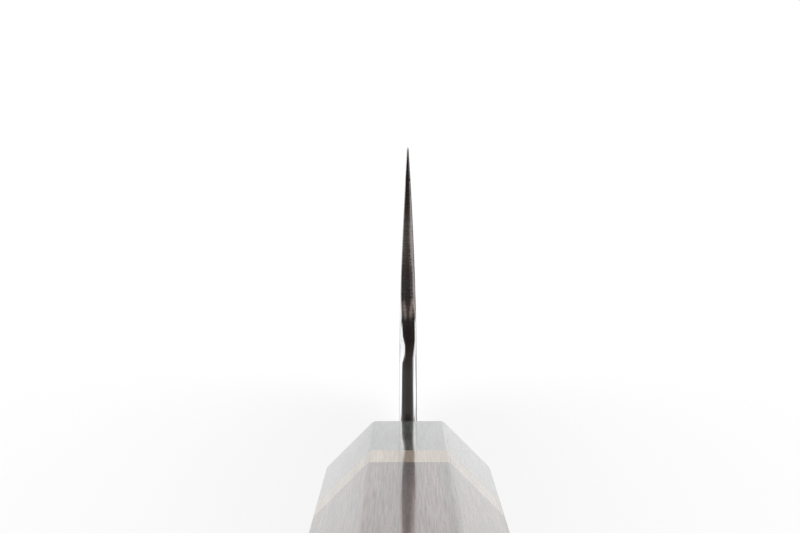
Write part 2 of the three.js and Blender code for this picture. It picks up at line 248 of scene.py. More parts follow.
# Wood
WOOD_SHADER = {"IOR": 1.42, "Coat Weight": 1.0, "Coat Roughness": 0.07, "Coat IOR": 1.42}
PITH = (-13, 0, -24)  # middle of the growth rings, in millimetres, below and to the left of the handle
WAVE_WIDTH = 2 * math.pi / 20  # width of one ring of the wave texture at a scale of 1
RING_STRETCH = (1, 0.03, 1)
RING_WARP = 9.0
RING_DETAIL = 3.0
RING_SHARE = 0.25  # the rest of the tone is figure
WOOD_FIGURE = Pattern((0.4, 0.016, 0.4), 4, 0.8)
WOOD_FIBRE = Pattern((8, 0.12, 8), 3)
WOOD_PORES = Pattern((5, 0.16, 5), 1)
WOOD_TONE_SPAN = (0.28, 0.72)
WOOD_FIBRE_SPAN = (0.35, 0.75)
WOOD_FIBRE_SHARE = 0.45
WOOD_PORE_SPAN = (0.63, 0.69)
WOOD_ROUGHNESS = (0.25, 0.4)
WOOD_RELIEF = 0.003 * MM
PALE_WOOD = Wood(
    dark=rgb(0.33, 0.245, 0.17),
    light=rgb(0.5, 0.405, 0.31),
    pore=rgb(0.27, 0.19, 0.125),
    pore_share=0.4,
    ring_width=1.6,
)
DARK_WOOD = Wood(
    dark=rgb(0.065, 0.039, 0.034),
    light=rgb(0.16, 0.098, 0.082),
    pore=rgb(0.02, 0.015, 0.014),
    pore_share=0.9,
    ring_width=2.2,
)
DOWEL_WOOD = Wood(
    dark=rgb(0.42, 0.27, 0.14),
    light=rgb(0.66, 0.47, 0.27),
    pore=rgb(0.28, 0.17, 0.09),
    pore_share=0.5,
    ring_width=1.8,
)

# Epoxy
EPOXY_SHADER = {"IOR": 1.55}
EPOXY_SPECK = Pattern((2.5, 2.5, 2.5), 3)
EPOXY_DARK = rgb(0.012, 0.010, 0.008)
EPOXY_LIGHT = rgb(0.05, 0.042, 0.035)
EPOXY_ROUGHNESS = (0.25, 0.45)

# Camera
CAMERA_BACK = 192.4 * MM  # behind the front of the ferrule
CAMERA_SIDE = -0.565 * MM
CAMERA_HEIGHT = 54.2 * MM
CAMERA_PITCH = 4.263  # degrees down
CAMERA_YAW = 0.12  # degrees to the left
CAMERA_CLIP = 10 * MM
LENS = 75.49  # on a sensor 36 mm wide

# Room: white walls, as polished surfaces mirror them, by direction
ROOM_LEVEL = 1.0  # even light for everything else
LEFT_WALL = 0.82  # ahead
RIGHT_WALL = 0.99
WALL_BLEND = 0.12  # how far from straight ahead the two meet
SIDE_FROM = (0.15, 0.4)  # the walls brighten outwards to full white
SKIRT_SIDE = (0.25, 0.45)  # low on the right ahead, the wall ends in a dark skirting
SKIRT_BACK = (0.3, 0.5)
SKIRT_TOP = (0.12, 0.26)
SKIRT_LEVEL = 0.04
LANE_TILT = (0.0, -0.5, 0.866)  # a dark lane runs from behind the camera up and over, between the walls
LANE_FROM = (0.0, 0.15)  # its ends are soft
LANE_LEFT = (-0.65, -0.5)  # where it starts, from left to right
LANE_RIGHT = (0.3, 0.95)  # and where it fades out
LANE_RISE = (0.3, 0.8)  # it brightens upwards
LANE_LEVEL = 0.06  # behind the camera
LANE_TOP = 0.17  # overhead

# Floor: paper near the knife and plain white farther off
FLOOR_SIZE = 6.0
FLOOR_STRETCH = (1.0, 0.4, 0.0)  # the knife is long, so distance along it counts less
FLOOR_FAR = (0.05, 0.3)  # from paper to plain white
FLOOR_PAPER = 0.35  # share of the floor near the knife that takes shadows
PAPER_SHADER = {"Roughness": 0.9, "Specular IOR Level": 0.0}
PAPER_FIBRE = Pattern((0.4, 0.4, 0.4), 3)
PAPER_DARK = grey(0.94)
PAPER_LIGHT = grey(0.97)

# Floor as polished surfaces mirror it, by place
FLOOR_LEFT = 0.72
FLOOR_RIGHT = 0.94
FLOOR_BLEND = 0.3
FLOOR_BESIDE = (-0.2, -0.08)  # beside the knife on the left it is white
FLOOR_AHEAD = (0.15, 0.3)  # up to here
FLOOR_SKIRT_SIDE = (0.2, 0.26)  # on the right ahead it is as dark as the skirting
FLOOR_SKIRT_AHEAD = (0.28, 0.42)
FLOOR_OPEN = (-0.4, -0.1)  # it darkens between these towards the open side
FLOOR_DARK = 0.04

# Lamps
SOFTBOX_SIZE = 0.8
SOFTBOXES = {
    "left_softbox": Softbox(place=(-0.75, 0.1, 0.65), power=0.5),
    "right_softbox": Softbox(place=(0.75, 0.1, 0.65), power=0.9),
}

# Places on the knife
FERRULE_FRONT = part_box("ferrule")[1].y
AXIS_Z = (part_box("core_dowel")[0].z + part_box("core_dowel")[1].z) / 2
TANG_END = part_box("blade_core")[0].y
HEEL_Y = FERRULE_FRONT + NECK_LENGTH
TIP_Y = HEEL_Y + BLADE_LENGTH
EDGE_Z = cad_high.z
SPINE_Z = EDGE_Z - BLADE_HEIGHT
NECK_TOP = SPINE_Z + NECK_HEIGHT
CHOIL_TOP = NECK_TOP + CHOIL_RADIUS
NOSE_Y = TIP_Y - NOSE_LENGTH
NOSE_Z = SPINE_Z + SPINE_DROP
TIP_Z = EDGE_Z - TIP_LIFT


# Blade shape


def bezier(points, count):
    """Points along a cubic curve, as an array of (y, z)."""
    t = np.linspace(0, 1, count)[:, None]
    a, b, c, d = (np.array(p) for p in points)
    return a * (1 - t) ** 3 + 3 * b * t * (1 - t) ** 2 + 3 * c * t**2 * (1 - t) + d * t**3


def line(start, end):
    """Points a step apart, from start up to but not including end."""
    count = max(1, round(math.dist(start, end) / OUTLINE_STEP))
    t = np.arange(count)[:, None] / count
    return np.array(start) * (1 - t) + np.array(end) * t


def edge_points(count):
    """The cutting edge, from heel to tip."""
    flat_end = (HEEL_Y + EDGE_FLAT_REACH, EDGE_Z)
    belly = (TIP_Y - BELLY_REACH, EDGE_Z - BELLY_LIFT)
    return bezier([(HEEL_Y, EDGE_Z), flat_end, belly, (TIP_Y, TIP_Z)], count)


def nose_points(count):
    """The curve from the spine to the tip."""
    slope = SPINE_DROP / (NOSE_Y - FERRULE_FRONT)
    shoulder = (NOSE_Y + NOSE_SHOULDER, NOSE_Z + slope * NOSE_SHOULDER)
    fall_end = (TIP_Y - NOSE_RUN, TIP_Z - NOSE_FALL)
    return bezier([(NOSE_Y, NOSE_Z), shoulder, fall_end, (TIP_Y, TIP_Z)], count)


EDGE_LOOKUP = edge_points(LOOKUP_POINTS)
NOSE_LOOKUP = nose_points(LOOKUP_POINTS)


def edge_height(y):
    return np.interp(y, EDGE_LOOKUP[:, 0], EDGE_LOOKUP[:, 1])


def nose_height(y):
    return np.interp(y, NOSE_LOOKUP[:, 0], NOSE_LOOKUP[:, 1])


def spine_thickness(y):
    return HEEL_THICKNESS + (TIP_THICKNESS - HEEL_THICKNESS) * (y - HEEL_Y) / BLADE_LENGTH


def half_thickness(y, z):
    """Half the steel at a place on the side: cutting bevel, convex grind, then flat to the spine."""
    depth = np.maximum(edge_height(y) - z, 0)
    ground = 1 - (1 - np.minimum(depth / GRIND_HEIGHT, 1)) ** GRIND_CURVE
    convex = (EDGE_SHOULDER + (spine_thickness(y) - EDGE_SHOULDER) * ground) / 2
    return np.minimum(np.minimum(convex, depth * BEVEL_SLOPE), STOCK_THICKNESS / 2)


def bevel_depth(y):
    """How far below the cutting edge its bevel meets the grind."""
    grind_slope = GRIND_CURVE * (spine_thickness(y) - EDGE_SHOULDER) / 2 / GRIND_HEIGHT
    return EDGE_SHOULDER / 2 / (BEVEL_SLOPE - grind_slope)


def core_half(y):
    """Half the core, whose faces wander as forge welding leaves them."""
    run = (y - FERRULE_FRONT) * 2 * math.pi
    wave = np.sin(run / FORGE_WAVE_LENGTH) + np.sin(FORGE_WAVE_RATIO * run / FORGE_WAVE_LENGTH)
    quick = run / FORGE_RIPPLE_LENGTH
    swell = np.sin(FORGE_BEAT * quick + FORGE_BEAT_START)
    ripple = np.sin(quick) * swell + FORGE_QUIVER_SHARE * np.sin(FORGE_QUIVER * quick)
    return CORE_THICKNESS / 2 + FORGE_WAVE / 2 * wave + FORGE_RIPPLE * ripple


def seam_depth(y):
    """How far below the cutting edge the grind lays the seam bare."""
    share = (2 * core_half(y) - EDGE_SHOULDER) / (spine_thickness(y) - EDGE_SHOULDER)
    return GRIND_HEIGHT * (1 - (1 - share) ** (1 / GRIND_CURVE))


def find_seam_end():
    """Where the seam runs out over the nose."""
    low = NOSE_Y
    high = TIP_Y
    for _ in range(SEAM_END_HALVINGS):
        middle = (low + high) / 2
        if edge_height(middle) - seam_depth(middle) > nose_height(middle):
            low = middle
        else:
            high = middle
    return low


SEAM_END = find_seam_end()


def seam_points():
    """The seam on the flank, from heel to nose."""
    y = np.linspace(HEEL_Y, SEAM_END, round((SEAM_END - HEEL_Y) / SEAM_STEP))
    return np.column_stack([y, edge_height(y) - seam_depth(y)])


def heel_radius(y, z, rounding):
    """The rounding of the heel's arris at a height. It runs out towards the bevel."""
    radius = np.interp(z - CHOIL_TOP, HEEL_FADE, [rounding.choil_top, rounding.heel])
    radius = np.minimum(radius, rounding.heel_share * half_thickness(y, z))
    return radius * np.clip((edge_height(y) - bevel_depth(y) - z) / OUTLINE_STEP, 0, 1)


def heel_drop(y, z, rounding):
    """How far the heel's rounding takes the skin in."""
    radius = heel_radius(y, z, rounding) * np.clip((z - CHOIL_TOP) / OUTLINE_STEP + 1, 0, 1)
    short = np.clip(radius - (y - HEEL_Y), 0, radius)
    return np.where(y < HEEL_Y, 0, radius - np.sqrt(radius**2 - short**2))


def core_faces(y, z, drop):
    """The core's left and right face, as x. The drop is on the right."""
    skin = half_thickness(y, z)
    return -np.minimum(skin, core_half(y)), np.minimum(skin - drop, core_half(y))


def cladding_faces(y, z, drop):
    """The inner and outer face of a cladding, as x on its own side."""
    skin = half_thickness(y, z) - drop
    return np.minimum(skin, core_half(y)), skin


# Blade outline: arrays of (y, z, ease)


def with_ease(points, ease):
    return np.column_stack([points, np.broadcast_to(ease, len(points))])


def tang_points():
    """Round the tang, from the spine's side of the neck to its top."""
    root = TANG_ROOT_HEIGHT / 2
    end = TANG_END_HEIGHT / 2
    corners = [
        (FERRULE_FRONT, SPINE_Z),
        (FERRULE_FRONT, AXIS_Z - root),
        (TANG_END, AXIS_Z - end),
        (TANG_END, AXIS_Z + end),
        (FERRULE_FRONT, AXIS_Z + root),
        (FERRULE_FRONT, NECK_TOP),
    ]
    return np.vstack([line(a, b) for a, b in zip(corners, corners[1:])])


def choil_points(rounding):
    """The sweep from the neck up to the heel."""
    angle = np.linspace(-math.pi / 2, 0, CHOIL_POINTS)
    sweep = np.column_stack([np.cos(angle), np.sin(angle)]) * CHOIL_RADIUS
    sweep += (HEEL_Y - CHOIL_RADIUS, CHOIL_TOP)
    turn = -np.degrees(angle)
    turns = [0, rounding.choil_turn, rounding.neck_turn]
    ease = np.interp(turn, turns, [rounding.choil_top, rounding.choil, rounding.neck])
    ease += rounding.glint * np.exp(-(((turn - GLINT_TURN) / GLINT_SPREAD) ** GLINT_POWER))
    return with_ease(sweep, ease)


def back_outline(nose_end, heel_top, rounding):
    """From a place on the nose, along spine, tang, neck and choil, to a height on the heel."""
    nose = nose_points(NOSE_POINTS)[1:]
    nose = nose[nose[:, 0] < nose_end - OUTLINE_STEP / 2][::-1]
    nose_ease = EASE_SPINE * np.clip((nose_end - nose[:, 0]) / EASE_FADE, 0, 1)
    spine = line((NOSE_Y, NOSE_Z), (FERRULE_FRONT, SPINE_Z))
    neck = line((FERRULE_FRONT, NECK_TOP), (HEEL_Y - CHOIL_RADIUS, NECK_TOP))
    heel = line((HEEL_Y, CHOIL_TOP), (HEEL_Y, heel_top))[1:]
    return np.vstack(
        [
            with_ease(nose, nose_ease),
            with_ease(spine, EASE_SPINE),
            with_ease(tang_points(), 0),
            with_ease(neck, rounding.neck),
            choil_points(rounding),
            with_ease(heel, heel_radius(*heel.T, rounding)),
        ]
    )


# Sheets of steel


def inward(outline):
    """Unit normals of a closed anticlockwise outline, pointing in."""
    along = np.roll(outline, -1, axis=0) - np.roll(outline, 1, axis=0)
    along /= np.linalg.norm(along, axis=1)[:, None]
    return np.column_stack([-along[:, 1], along[:, 0]])


def inside(points, outline):
    """Which points lie in a closed outline."""
    y, z = points.T[:, :, None]
    y0, z0 = outline.T[:, None]
    y1, z1 = np.roll(outline, -1, axis=0).T[:, None]
    crosses = (z0 > z) != (z1 > z)
    rise = np.where(z1 == z0, 1, z1 - z0)
    hits = crosses & (y < y0 + (z - z0) * (y1 - y0) / rise)
    return hits.sum(axis=1) % 2 == 1


def grid_points(outline, creases):
    """Places inside an outline, clear of it and of the creases, in rows that follow the cutting edge."""
    depths = np.arange(GRID_STEP / 2, BLADE_HEIGHT, GRID_STEP)
    columns = np.arange(TANG_END, TIP_Y, GRID_STEP)
    points = np.array([(y, edge_height(y) - depth) for y in columns for depth in depths])
    points = points[inside(points, outline)]
    taken = np.vstack([outline, *creases])
    tree = kdtree.KDTree(len(taken))
    for index, place in enumerate(taken):
        tree.insert((*place, 0), index)
    tree.balance()
    clear = [tree.find((*place, 0))[2] > GRID_CLEAR for place in points]
    return points[clear]


def rounded_rings(rim, radius):
    """Rows of places along a rim where its rounding is cut, and how far each lies below the skin."""
    rounded = radius > EASE_LEAST
    towards = inward(rim)[rounded]
    rings = []
    drops = []
    for step in range(1, EASE_STEPS + 1):
        angle = step / EASE_STEPS * math.pi / 2
        rings.append(rim[rounded] + towards * (radius[rounded] * (1 - math.cos(angle)))[:, None])
        drops.append(radius[rounded] * (1 - math.sin(angle)))
    return np.vstack(rings), np.concatenate(drops)


def crease_edges(start, creases):
    """Pairs of numbers along creases whose places follow each other from a start."""
    pairs = []
    for crease in creases:
        pairs += [(start + i, start + i + 1) for i in range(len(crease) - 1)]
        start += len(crease)
    return pairs


def closed_faces(triangles, rim_edges, shut):
    """Faces over and under flat triangles, which meet where they are shut, and walls along the rim."""
    count = len(shut)
    under = [i if shut[i] else i + count for i in range(count)]
    faces = []
    for corner in triangles:
        if not shut[corner].all():
            faces += [tuple(corner), tuple(under[i] for i in reversed(corner))]
    for a, b in rim_edges:
        wall = tuple(dict.fromkeys([b, a, under[a], under[b]]))
        if len(wall) > 2:
            faces.append(wall)
    return faces


def without_loose(corners, faces):
    """The same faces and only the corners that they use."""
    used = sorted({corner for face in faces for corner in face})
    place = {old: new for new, old in enumerate(used)}
    return corners[used], [tuple(place[corner] for corner in face) for face in faces]


def sheet(outline, layer, rounding, creases=()):
    """A closed solid over an anticlockwise outline of (y, z, ease), with a quarter round along it.

    The layer gives its two faces as x, for a place and the rounding's drop there. Returns corners and
    faces.
    """
    rim = outline[:, :2]
    radius = np.minimum(outline[:, 2], EASE_LIMIT * half_thickness(*rim.T))
    rings, ring_drops = rounded_rings(rim, radius)
    places = np.vstack([rim, *creases, rings, grid_points(rim, creases)])
    drops = np.zeros(len(places))
    drops[: len(rim)] = radius
    first_ring = len(rim) + sum(len(crease) for crease in creases)
    drops[first_ring : first_ring + len(rings)] = ring_drops
    loop = [(i, (i + 1) % len(rim)) for i in range(len(rim))]
    kept = loop + crease_edges(len(rim), creases)
    flat = delaunay_2d_cdt([Vector(p) for p in places], kept, [], TRIANGLES_INSIDE, SAME_PLACE)
    triangles, sources = flat[2:4]
    first = [source[0] for source in sources]
    y, z = places[first].T
    low, high = layer(y, z, np.maximum(drops[first], heel_drop(y, z, rounding)))
    corners = np.vstack([np.column_stack([high, y, z]), np.column_stack([low, y, z])])
    made = {i: corner for corner, source in enumerate(sources) for i in source}
    rim_edges = [(made[i], made[j]) for i, j in loop]
    return without_loose(corners, closed_faces(triangles, rim_edges, high - low < SHUT))


def add_object(name, data):
    made = bpy.data.objects.new(name, data)
    bpy.context.scene.collection.objects.link(made)
    return made


def add_layer(name, corners, faces, node):
    """A layer of the blade as an object, whose points know how far past the seam they lie."""
    mesh = bpy.data.meshes.new(name)
    mesh.from_pydata(corners.tolist(), [], faces)
    mesh.validate()
    mesh.shade_smooth()
    mesh.set_sharp_from_angle(angle=LAYER_CORNER)
    for face in mesh.polygons:
        on_heel = all(corners[i, 1] == HEEL_Y for i in face.vertices)
        face.use_smooth = not on_heel  # the heel's face stays flat
    y, z = corners[:, 1:].T
    from_seam = (edge_height(y) - z - seam_depth(np.minimum(y, SEAM_END))) / MM
    mesh.attributes.new("past_seam", "FLOAT", "POINT").data.foreach_set("value", from_seam)
    layer = add_object(name, mesh)
    layer.modifiers.new("weighted_normals", "WEIGHTED_NORMAL").keep_sharp = True
    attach(layer, "root")
    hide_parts(node)
    return layer


def make_cladding(name, node, side, rounding):
    """One cladding, on the left with a side of -1 and on the right with 1."""
    seam = seam_points()
    outline = np.vstack([with_ease(seam, 0), back_outline(SEAM_END, seam[0, 1], rounding)])[::-1]
    corners, faces = sheet(outline, cladding_faces, rounding)
    corners[:, 0] *= side
    faces = [face[::side] for face in faces]
    return add_layer(name, corners, faces, node)


def make_core():
    """The core, with creases along its bevel and its seam."""
    edge = edge_points(round(BLADE_LENGTH / OUTLINE_STEP))
    bevel = edge[:-BEVEL_END].copy()
    bevel[:, 1] -= bevel_depth(bevel[:, 0])
    corner = with_ease(bevel[:1], heel_radius(*bevel[:1].T, RIGHT_ROUNDING))
    back = back_outline(TIP_Y, corner[0, 1], RIGHT_ROUNDING)
    outline = np.vstack([with_ease(edge, 0), back, corner])[::-1]
    bevel[0, 0] += BEVEL_CLEAR
    guard = bevel - (0, BEVEL_GUARD)
    seam = seam_points()[1:-1]
    corners, faces = sheet(outline, core_faces, RIGHT_ROUNDING, [bevel, guard, seam])
    return add_layer("core_layer", corners, faces, "blade_core")


# Shading helpers


def feed(tree, socket, value):
    """Gives a socket another socket's value, or a constant."""
    if isinstance(value, bpy.types.NodeSocket):
        tree.links.new(value, socket)
    else:
        socket.default_value = value


def node(tree, kind, inputs, **settings):
    """A new node with its inputs fed by name or place."""
    made = tree.nodes.new(kind)
    for name, value in settings.items():
        setattr(made, name, value)
    for name, value in inputs.items():
        feed(tree, made.inputs[name], value)
    return made


def math_node(tree, operation, first, second=0.0):
    return node(tree, "ShaderNodeMath", {0: first, 1: second}, operation=operation).outputs[0]


def vector_node(tree, operation, first, second=(0, 0, 0)):
    """Outputs of a vector operation: a Vector and a Value."""
    return node(tree, "ShaderNodeVectorMath", {0: first, 1: second}, operation=operation).outputs


def times(tree, first, second):
    return math_node(tree, "MULTIPLY", first, second)


def plus(tree, first, second):
    return math_node(tree, "ADD", first, second)


def mix(tree, share, first, second):
    """From one value to another by a share. The node takes values at its inputs 2 and 3."""
    return node(tree, "ShaderNodeMix", {0: share, 2: first, 3: second}).outputs[0]


def blend(tree, share, first, second):
    """From one colour to another by a share. The node takes colours at its inputs 6 and 7."""
    return node(tree, "ShaderNodeMix", {0: share, 6: first, 7: second}, data_type="RGBA").outputs[2]


def ramp(tree, value, low, high, to_low=0.0, to_high=1.0):
    """A smooth step: to_low below low, to_high above high."""
    inputs = {"Value": value, "From Min": low, "From Max": high, "To Min": to_low, "To Max": to_high}
    return node(tree, "ShaderNodeMapRange", inputs, interpolation_type="SMOOTHSTEP").outputs[0]


def fall(tree, value, low, high):
    """A smooth step down: 1 below low, 0 above high."""
    return ramp(tree, value, low, high, 1.0, 0.0)


def spot(tree, value, centre, reach, least=0.0):
    """1 at a centre, down to a least share at a reach on both sides."""
    away = math_node(tree, "ABSOLUTE", math_node(tree, "SUBTRACT", value, centre))
    return ramp(tree, away, 0.0, reach, 1.0, least)


def object_place(tree):
    return node(tree, "ShaderNodeTexCoord", {}).outputs["Object"]


def axes(tree):
    """The place's own coordinates, as three sockets."""
    return node(tree, "ShaderNodeSeparateXYZ", {0: object_place(tree)}).outputs


def stretched(tree, per_mm):
    """The place, scaled to so many turns of a pattern per millimetre along X, Y and Z."""
    scale = [turns / MM for turns in per_mm]
    return vector_node(tree, "MULTIPLY", object_place(tree), scale)["Vector"]


def noise(tree, pattern):
    """Noise that is so many turns per millimetre fine."""
    place = stretched(tree, pattern.per_mm)
    inputs = {"Vector": place, "Scale": 1.0, "Detail": pattern.detail, "Distortion": pattern.warp}
    return node(tree, "ShaderNodeTexNoise", inputs).outputs[0]


def between(tree, pattern, low, high):
    """A value that follows noise from low to high."""
    return ramp(tree, pattern, *NOISE_SPAN, low, high)


def tinted(tree, colour, pattern, tint):
    """A colour with a tint over it where a pattern passes the tint's span."""
    return blend(tree, ramp(tree, pattern, *tint.span, to_high=tint.share), colour, tint.colour)


def new_material(name, constants):
    """A material with constants on its shader's sockets, its node tree and its shader."""
    material = bpy.data.materials.new(name)
    material.use_nodes = True
    shader = material.node_tree.nodes["Principled BSDF"]
    for socket, value in constants.items():
        shader.inputs[socket].default_value = value
    return material, material.node_tree, shader


def surface(tree, shader, colour, roughness):
    feed(tree, shader.inputs["Base Color"], colour)
    feed(tree, shader.inputs["Roughness"], roughness)


def emboss(tree, shader, height, depth):
    """A relief in which a height of 1 stands so far out."""
    bump = node(tree, "ShaderNodeBump", {"Height": height, "Distance": depth, "Strength": 1.0})
    feed(tree, shader.inputs["Normal"], bump.outputs[0])


def paint(piece, material):
    piece.data.materials.clear()
    piece.data.materials.append(material)


# Steel


def steel_zones(tree):
    """Two masks: 1 on arrises and flanks, so off the narrow faces, and 1 on the flanks only."""
    normal = node(tree, "ShaderNodeTexCoord", {}).outputs["Normal"]
    sideways = math_node(tree, "ABSOLUTE", node(tree, "ShaderNodeSeparateXYZ", {0: normal}).outputs[0])
    return ramp(tree, sideways, *ARRIS_FROM), ramp(tree, sideways, *FLANK_FROM)


def by_zone(tree, join, zones, narrow, arris, flank):
    """What differs on narrow faces, arrises and flanks. Mix joins values and blend joins colours."""
    off_narrow, on_flank = zones
    return join(tree, on_flank, join(tree, off_narrow, narrow, arris), flank)


def past_seam(tree):
    """Millimetres from the seam towards the spine."""
    return node(tree, "ShaderNodeAttribute", {}, attribute_name="past_seam").outputs["Fac"]


def rubbing_and_highlight_mask(tree):
    """A mask of two streaks of rubbing with a painted highlight, which close towards each other downwards.
    """
    x, _, z = axes(tree)
    side = ramp(tree, z, RUB_HIGHLIGHT_FOOT[0], RUB_HIGHLIGHT_TOP[1], *RUB_HIGHLIGHT_SIDE)
    away = math_node(tree, "SUBTRACT", math_node(tree, "ABSOLUTE", x), side)
    streak = spot(tree, away, 0.0, RUB_HIGHLIGHT_WIDTH, RUB_HIGHLIGHT_LEAST)
    height = times(tree, ramp(tree, z, *RUB_HIGHLIGHT_FOOT), fall(tree, z, *RUB_HIGHLIGHT_TOP))
    return times(tree, streak, height)


def ground_across(tree, base, bloom):
    """Narrow faces, with a brown bloom and a band of rubbing with a painted highlight: colour, roughness
    and height of the relief.
    """
    _, _, z = axes(tree)
    cross = noise(tree, CROSS_GRIND)
    colour = tinted(tree, base, noise(tree, BROWN_BLOOM), bloom)
    rubbing_and_highlight = times(tree, rubbing_and_highlight_mask(tree), between(tree, cross, *RUB_HIGHLIGHT_SHARE))
    # the band of rubbing is painted lighter, as a highlight
    colour = blend(tree, rubbing_and_highlight, colour, RUB_HIGHLIGHT_COLOUR)
    haze = spot(tree, z, HEEL_HAZE, HEEL_HAZE_REACH)
    haze_rough = times(tree, haze, between(tree, cross, *HEEL_HAZE_ROUGHNESS))
    rough = plus(tree, between(tree, cross, *GROUND_ROUGHNESS), haze_rough)
    rough = plus(tree, rough, times(tree, rubbing_and_highlight, RUB_ROUGHNESS))
    return colour, rough, cross


def cladding_arris(tree, ground, ground_rough):
    """Colour and roughness of the arrises, polished below a height and nearly as ground above it."""
    x, _, z = axes(tree)
    on_right = math_node(tree, "GREATER_THAN", x, 0.0)
    polished = mix(tree, on_right, fall(tree, z, *LEFT_POLISH), fall(tree, z, *RIGHT_POLISH))
    colour = blend(tree, ARRIS_GROUND_SHARE, ground, ARRIS_GROUND)
    colour = blend(tree, polished, colour, ARRIS_POLISHED)
    return colour, mix(tree, polished, ground_rough, ARRIS_ROUGHNESS)


def satin_flank(tree):
    """Satin along the blade, hazed near the seam: colour, roughness and height of the relief."""
    hair = noise(tree, SATIN_HAIR)
    streak = noise(tree, SATIN_STREAK)
    near_seam = fall(tree, past_seam(tree), 0.0, SEAM_HAZE_REACH)
    haze = times(tree, near_seam, between(tree, streak, *SEAM_HAZE_STREAKS))
    colour = blend(tree, ramp(tree, noise(tree, SATIN_CLOUD), *NOISE_SPAN), SATIN_DARK, SATIN_LIGHT)
    colour = tinted(tree, colour, streak, SATIN_STREAK_TINT)
    colour = tinted(tree, colour, hair, SATIN_HAIR_TINT)
    colour = blend(tree, times(tree, haze, SEAM_HAZE_SHARE), colour, SEAM_HAZE_COLOUR)
    rough = plus(tree, between(tree, hair, *SATIN_ROUGHNESS), times(tree, haze, SEAM_HAZE_ROUGHNESS))
    return colour, rough, hair


def polished_flank(tree):
    """Finer polish, with a dark line at the seam: colour, roughness and height of the relief."""
    hair = noise(tree, POLISH_HAIR)
    colour = blend(tree, noise(tree, POLISH_CLOUD), POLISH_DARK, POLISH_LIGHT)
    colour = tinted(tree, colour, past_seam(tree), SEAM_LINE_TINT)
    return colour, between(tree, hair, *POLISH_ROUGHNESS), hair


def cladding_steel():
    """Ground narrow faces, rounded arrises and satin flanks."""
    material, tree, shader = new_material("satin_cladding", STEEL_SHADER)
    zones = steel_zones(tree)
    ground, ground_rough, cross = ground_across(tree, CLADDING_GROUND, CLADDING_BLOOM)
    arris, arris_rough = cladding_arris(tree, ground, ground_rough)
    satin, satin_rough, hair = satin_flank(tree)
    colour = by_zone(tree, blend, zones, ground, arris, satin)
    surface(tree, shader, colour, by_zone(tree, mix, zones, ground_rough, arris_rough, satin_rough))
    emboss(tree, shader, by_zone(tree, mix, zones, cross, ARRIS_HEIGHT, hair), SATIN_RELIEF)
    return material


def core_steel():
    """Ground narrow faces and polished flanks."""
    material, tree, shader = new_material("polished_core", STEEL_SHADER)
    zones = steel_zones(tree)
    ground, ground_rough, cross = ground_across(tree, CORE_GROUND, CORE_BLOOM)
    polish, polish_rough, hair = polished_flank(tree)
    colour = by_zone(tree, blend, zones, ground, ground, polish)
    surface(tree, shader, colour, by_zone(tree, mix, zones, ground_rough, ground_rough, polish_rough))
    emboss(tree, shader, by_zone(tree, mix, zones, cross, cross, hair), POLISH_RELIEF)
    return material


# Materials of the handle


def horn():
    """Polished grey-green horn with pale and dark streaks along the handle."""
    material, tree, shader = new_material("dark_horn", HORN_SHADER)
    fibre = noise(tree, HORN_FIBRE)
    colour = blend(tree, ramp(tree, noise(tree, HORN_MARBLE), *NOISE_SPAN), HORN_DARK, HORN_LIGHT)
    colour = tinted(tree, colour, noise(tree, HORN_STREAK), HORN_STREAK_TINT)
    colour = tinted(tree, colour, fibre, HORN_FIBRE_TINT)
    surface(tree, shader, colour, between(tree, fibre, *HORN_ROUGHNESS))
    emboss(tree, shader, fibre, HORN_RELIEF)
    return material


def growth_rings(tree, width):
    """Rings of a width in millimetres round a pith that runs along Y, from 0 to 1."""
    place = vector_node(tree, "SUBTRACT", stretched(tree, RING_STRETCH), PITH)["Vector"]
    scale = WAVE_WIDTH / width
    inputs = {"Vector": place, "Scale": scale, "Distortion": RING_WARP, "Detail": RING_DETAIL}
    rings = node(tree, "ShaderNodeTexWave", inputs, wave_type="RINGS", rings_direction="Y")
    return rings.outputs["Fac"]


def wood(name, kind):
    """Lacquered wood: growth rings, fibres and pores that all run along the handle."""
    material, tree, shader = new_material(name, WOOD_SHADER)
    fibre = noise(tree, WOOD_FIBRE)
    tone = mix(tree, RING_SHARE, noise(tree, WOOD_FIGURE), growth_rings(tree, kind.ring_width))
    colour = blend(tree, ramp(tree, tone, *WOOD_TONE_SPAN), kind.dark, kind.light)
    colour = tinted(tree, colour, fibre, Tint(kind.dark, WOOD_FIBRE_SPAN, WOOD_FIBRE_SHARE))
    open_pore = ramp(tree, noise(tree, WOOD_PORES), *WOOD_PORE_SPAN, to_high=kind.pore_share)
    colour = blend(tree, open_pore, colour, kind.pore)
    surface(tree, shader, colour, between(tree, fibre, *WOOD_ROUGHNESS))
    emboss(tree, shader, math_node(tree, "SUBTRACT", fibre, open_pore), WOOD_RELIEF)
    return material


def epoxy():
    material, tree, shader = new_material("dark_epoxy", EPOXY_SHADER)
    speck = noise(tree, EPOXY_SPECK)
    colour = blend(tree, speck, EPOXY_DARK, EPOXY_LIGHT)
    surface(tree, shader, colour, between(tree, speck, *EPOXY_ROUGHNESS))
    return material


# Smooth shading of the handle's solids


